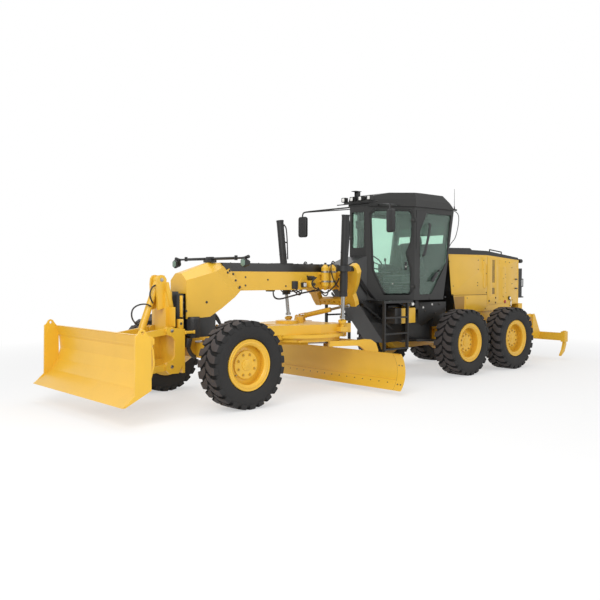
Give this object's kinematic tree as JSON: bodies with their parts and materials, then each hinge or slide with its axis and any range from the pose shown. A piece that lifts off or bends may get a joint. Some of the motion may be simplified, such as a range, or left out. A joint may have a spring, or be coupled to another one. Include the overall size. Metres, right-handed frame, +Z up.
{
  "type": "motor grader",
  "caption": "Motor grader: curved blade on a turning circle under an arched frame, dozer blade in front, ripper behind, glazed cab, hinged doors and lugged tyres.",
  "frame": {"origin": "middle of the length and width, on the ground under the machine", "axes": "+X forward, +Y to the machine's left, +Z up"},
  "size_m": [10.9252, 3.658, 3.464],
  "materials": {
    "yellow": "satin",
    "black": "satin",
    "charcoal": "matte",
    "door": "matte",
    "pane": "gloss",
    "cloth": "matte",
    "tyre": "matte",
    "steel": "satin",
    "chrome": "polished"
  },
  "bodies": {
    "rear": {"rear_frame": "yellow", "engine_block": "black", "hood": "yellow", "hood_top": "black", "rear_guard": "black", "tandem_axle": "yellow"},
    "front": {"front_frame": "yellow", "cowl": "yellow", "front_axle": "yellow", "saddle": "yellow", "cab_shell": "charcoal", "cab_roof": "charcoal", "cab_glass": "pane", "seat": "cloth", "steps": "black", "lamps_mirrors": "black", "dozer_tower": "yellow"},
    "lean_l": {"lean_l": "yellow"},
    "knuckle_l": {"knuckle_l": "yellow"},
    "wheel_front_l": {"tyre_front_l": "tyre", "rim_front_l": "yellow"},
    "wheel_mid_l": {"tyre_mid_l": "tyre", "rim_mid_l": "yellow"},
    "wheel_rear_l": {"tyre_rear_l": "tyre", "rim_rear_l": "yellow"},
    "lean_r": {"lean_r": "yellow"},
    "knuckle_r": {"knuckle_r": "yellow"},
    "wheel_front_r": {"tyre_front_r": "tyre", "rim_front_r": "yellow"},
    "wheel_mid_r": {"tyre_mid_r": "tyre", "rim_mid_r": "yellow"},
    "wheel_rear_r": {"tyre_rear_r": "tyre", "rim_rear_r": "yellow"},
    "drawbar_ball": {"drawbar_ball": "steel"},
    "drawbar": {"drawbar": "yellow"},
    "circle": {"circle": "yellow"},
    "blade_carrier": {"blade_carrier": "yellow"},
    "blade": {"moldboard": "steel", "cutting_edge": "steel"},
    "tip_barrel": {"tip_barrel": "black"},
    "tip_rod": {"tip_rod": "chrome"},
    "lift_barrel_l": {"lift_barrel_l": "black"},
    "lift_rod_l": {"lift_rod_l": "chrome"},
    "lift_barrel_r": {"lift_barrel_r": "black"},
    "lift_rod_r": {"lift_rod_r": "chrome"},
    "shift_ball": {"shift_ball": "steel"},
    "shift_barrel": {"shift_barrel": "yellow"},
    "shift_rod": {"shift_rod": "chrome"},
    "dozer_lower_arms": {"dozer_lower_arms": "yellow"},
    "dozer_upper_arms": {"dozer_upper_arms": "yellow"},
    "dozer_blade": {"dozer_blade": "yellow"},
    "dozer_barrel": {"dozer_barrel": "yellow"},
    "dozer_rod": {"dozer_rod": "chrome"},
    "ripper_arms": {"ripper_arms": "yellow"},
    "ripper_links": {"ripper_links": "yellow"},
    "ripper_beam": {"ripper_beam": "yellow"},
    "ripper_barrels": {"ripper_barrels": "yellow"},
    "ripper_rods": {"ripper_rods": "chrome"},
    "door_l": {"door_l": "door"},
    "door_r": {"door_r": "door"}
  },
  "joints": [
    {"name": "articulation", "type": "hinge", "parent": "rear", "child": "front", "pos_m": [-1.09441, 0, 0.9], "axis": [0, 0, 1], "range_deg": [-20, 20]},
    {"name": "lean_l", "type": "hinge", "parent": "front", "child": "lean_l", "pos_m": [3.50559, 0.68, 0.52], "axis": [-1, 0, 0], "range_deg": [-18, 18]},
    {"name": "steer_l", "type": "hinge", "parent": "lean_l", "child": "knuckle_l", "pos_m": [3.50559, 0.8, 0.61], "axis": [0, 0, 1], "range_deg": [-47.5, 47.5]},
    {"name": "spin_front_l", "type": "hinge", "parent": "knuckle_l", "child": "wheel_front_l", "pos_m": [3.50559, 1.07, 0.61], "axis": [0, 1, 0], "continuous": true},
    {"name": "spin_mid_l", "type": "hinge", "parent": "rear", "child": "wheel_mid_l", "pos_m": [-1.65541, 0.97, 0.61], "axis": [0, 1, 0], "continuous": true},
    {"name": "spin_rear_l", "type": "hinge", "parent": "rear", "child": "wheel_rear_l", "pos_m": [-3.17841, 0.97, 0.61], "axis": [0, 1, 0], "continuous": true},
    {"name": "lean_r", "type": "hinge", "parent": "front", "child": "lean_r", "pos_m": [3.50559, -0.68, 0.52], "axis": [-1, 0, 0], "range_deg": [-18, 18]},
    {"name": "steer_r", "type": "hinge", "parent": "lean_r", "child": "knuckle_r", "pos_m": [3.50559, -0.8, 0.61], "axis": [0, 0, 1], "range_deg": [-47.5, 47.5]},
    {"name": "spin_front_r", "type": "hinge", "parent": "knuckle_r", "child": "wheel_front_r", "pos_m": [3.50559, -1.07, 0.61], "axis": [0, 1, 0], "continuous": true},
    {"name": "spin_mid_r", "type": "hinge", "parent": "rear", "child": "wheel_mid_r", "pos_m": [-1.65541, -0.97, 0.61], "axis": [0, 1, 0], "continuous": true},
    {"name": "spin_rear_r", "type": "hinge", "parent": "rear", "child": "wheel_rear_r", "pos_m": [-3.17841, -0.97, 0.61], "axis": [0, 1, 0], "continuous": true},
    {"name": "drawbar_yaw", "type": "hinge", "parent": "front", "child": "drawbar_ball", "pos_m": [3.17559, 0, 1], "axis": [0, 0, 1], "range_deg": [-6.5, 6.5]},
    {"name": "drawbar_pitch", "type": "hinge", "parent": "drawbar_ball", "child": "drawbar", "pos_m": [3.17559, 0, 1], "axis": [0, 1, 0], "range_deg": [-17, 9]},
    {"name": "circle_turn", "type": "hinge", "parent": "drawbar", "child": "circle", "pos_m": [1.55559, 0, 0.85], "axis": [0, 0, -1], "range_deg": [-35, 35]},
    {"name": "blade_tip", "type": "hinge", "parent": "circle", "child": "blade_carrier", "pos_m": [0.80559, 0, 0.23], "axis": [0, 1, 0], "range_deg": [-5, 40]},
    {"name": "blade_shift", "type": "slide", "parent": "blade_carrier", "child": "blade", "axis": [0, 1, 0], "range_m": [-0.512, 0.663]},
    {"name": "tip_barrel_pin", "type": "hinge", "parent": "circle", "child": "tip_barrel", "pos_m": [1.98559, 0, 0.73], "axis": [0, 1, 0], "range_deg": [-10, 3]},
    {"name": "tip_rod_slide", "type": "slide", "parent": "tip_barrel", "child": "tip_rod", "axis": [-0.9994, 0, -0.0355], "range_m": [-0.28, 0.05]},
    {"name": "lift_yoke_l", "type": "hinge", "parent": "front", "child": "lift_barrel_l", "pos_m": [1.21559, 0.745, 1.945], "axis": [1, 0, 0], "range_deg": [-15, 15]},
    {"name": "lift_rod_slide_l", "type": "slide", "parent": "lift_barrel_l", "child": "lift_rod_l", "axis": [-0.0455, -0.0853, -0.9953], "range_m": [-0.32, 0.6]},
    {"name": "lift_yoke_r", "type": "hinge", "parent": "front", "child": "lift_barrel_r", "pos_m": [1.21559, -0.745, 1.945], "axis": [1, 0, 0], "range_deg": [-15, 15]},
    {"name": "lift_rod_slide_r", "type": "slide", "parent": "lift_barrel_r", "child": "lift_rod_r", "axis": [-0.0455, 0.0853, -0.9953], "range_m": [-0.32, 0.6]},
    {"name": "shift_ball_pin", "type": "hinge", "parent": "drawbar", "child": "shift_ball", "pos_m": [1.10559, -0.45, 1.12], "axis": [1, 0, 0], "range_deg": [-21, 39]},
    {"name": "shift_barrel_pin", "type": "hinge", "parent": "shift_ball", "child": "shift_barrel", "pos_m": [1.10559, -0.45, 1.12], "axis": [0, -0.2398, 0.9708], "range_deg": [-10, 10]},
    {"name": "shift_rod_slide", "type": "slide", "parent": "shift_barrel", "child": "shift_rod", "axis": [-0.3666, 0.9032, 0.2231], "range_m": [-0.23, 0.23]},
    {"name": "dozer_lift", "type": "hinge", "parent": "front", "child": "dozer_lower_arms", "pos_m": [4.15559, 0, 0.556], "axis": [0, -1, 0], "range_deg": [-31, 40]},
    {"name": "dozer_upper_pin", "type": "hinge", "parent": "front", "child": "dozer_upper_arms", "pos_m": [4.15559, 0, 1.057], "axis": [0, -1, 0], "range_deg": [-31, 40]},
    {"name": "dozer_blade_pin", "type": "hinge", "parent": "dozer_lower_arms", "child": "dozer_blade", "pos_m": [4.94875, 0, 0.45158], "axis": [0, -1, 0], "range_deg": [-40, 31]},
    {"name": "dozer_barrel_pin", "type": "hinge", "parent": "front", "child": "dozer_barrel", "pos_m": [4.18859, 0, 1.766], "axis": [0, -1, 0], "range_deg": [-2, 2]},
    {"name": "dozer_rod_slide", "type": "slide", "parent": "dozer_barrel", "child": "dozer_rod", "axis": [0.3577, 0, -0.9339], "range_m": [-0.32, 0.25]},
    {"name": "ripper_lift", "type": "hinge", "parent": "rear", "child": "ripper_arms", "pos_m": [-4.34441, 0, 0.56], "axis": [0, 1, 0], "range_deg": [-20, 25]},
    {"name": "ripper_link_pin", "type": "hinge", "parent": "rear", "child": "ripper_links", "pos_m": [-4.34441, 0, 1.01], "axis": [0, 1, 0], "range_deg": [-20, 25]},
    {"name": "ripper_beam_pin", "type": "hinge", "parent": "ripper_arms", "child": "ripper_beam", "pos_m": [-5.08759, 0, 0.50803], "axis": [0, 1, 0], "range_deg": [-25, 20]},
    {"name": "ripper_barrel_pin", "type": "hinge", "parent": "rear", "child": "ripper_barrels", "pos_m": [-4.58941, 0, 1.12], "axis": [0, 1, 0], "range_deg": [-6, 7]},
    {"name": "ripper_rod_slide", "type": "slide", "parent": "ripper_barrels", "child": "ripper_rods", "axis": [-0.326, 0, -0.9454], "range_m": [-0.19, 0.15]},
    {"name": "door_l_hinge", "type": "hinge", "parent": "front", "child": "door_l", "pos_m": [-0.59431, 0.7218, 2.2], "axis": [0, 0, 1], "range_deg": [0, 80]},
    {"name": "door_r_hinge", "type": "hinge", "parent": "front", "child": "door_r", "pos_m": [-0.59431, -0.7218, 2.2], "axis": [0, 0, -1], "range_deg": [0, 80]}
  ],
  "couplings": [
    {"joint": "lean_r", "follows": "lean_l", "ratio": 1},
    {"joint": "steer_r", "follows": "steer_l", "ratio": 1},
    {"joint": "tip_barrel_pin", "follows": "blade_tip", "ratio": -0.2},
    {"joint": "tip_rod_slide", "follows": "blade_tip", "m_per_rad": -0.387},
    {"joint": "lift_yoke_l", "follows": "drawbar_yaw", "ratio": -2.17},
    {"joint": "lift_rod_slide_l", "follows": "drawbar_pitch", "m_per_rad": -1.977},
    {"joint": "lift_yoke_r", "follows": "drawbar_yaw", "ratio": -2.17},
    {"joint": "lift_rod_slide_r", "follows": "drawbar_pitch", "m_per_rad": -1.977},
    {"joint": "shift_ball_pin", "follows": "drawbar_pitch", "ratio": -2.235},
    {"joint": "shift_barrel_pin", "follows": "drawbar_yaw", "ratio": -1.407},
    {"joint": "shift_rod_slide", "follows": "drawbar_yaw", "m_per_rad": 2.002},
    {"joint": "dozer_upper_pin", "follows": "dozer_lift", "ratio": 1},
    {"joint": "dozer_blade_pin", "follows": "dozer_lift", "ratio": -1},
    {"joint": "dozer_barrel_pin", "follows": "dozer_lift", "ratio": 0.04},
    {"joint": "dozer_rod_slide", "follows": "dozer_lift", "m_per_rad": -0.444},
    {"joint": "ripper_link_pin", "follows": "ripper_lift", "ratio": 1},
    {"joint": "ripper_beam_pin", "follows": "ripper_lift", "ratio": -1},
    {"joint": "ripper_barrel_pin", "follows": "ripper_lift", "ratio": 0.247},
    {"joint": "ripper_rod_slide", "follows": "ripper_lift", "m_per_rad": -0.415}
  ]
}
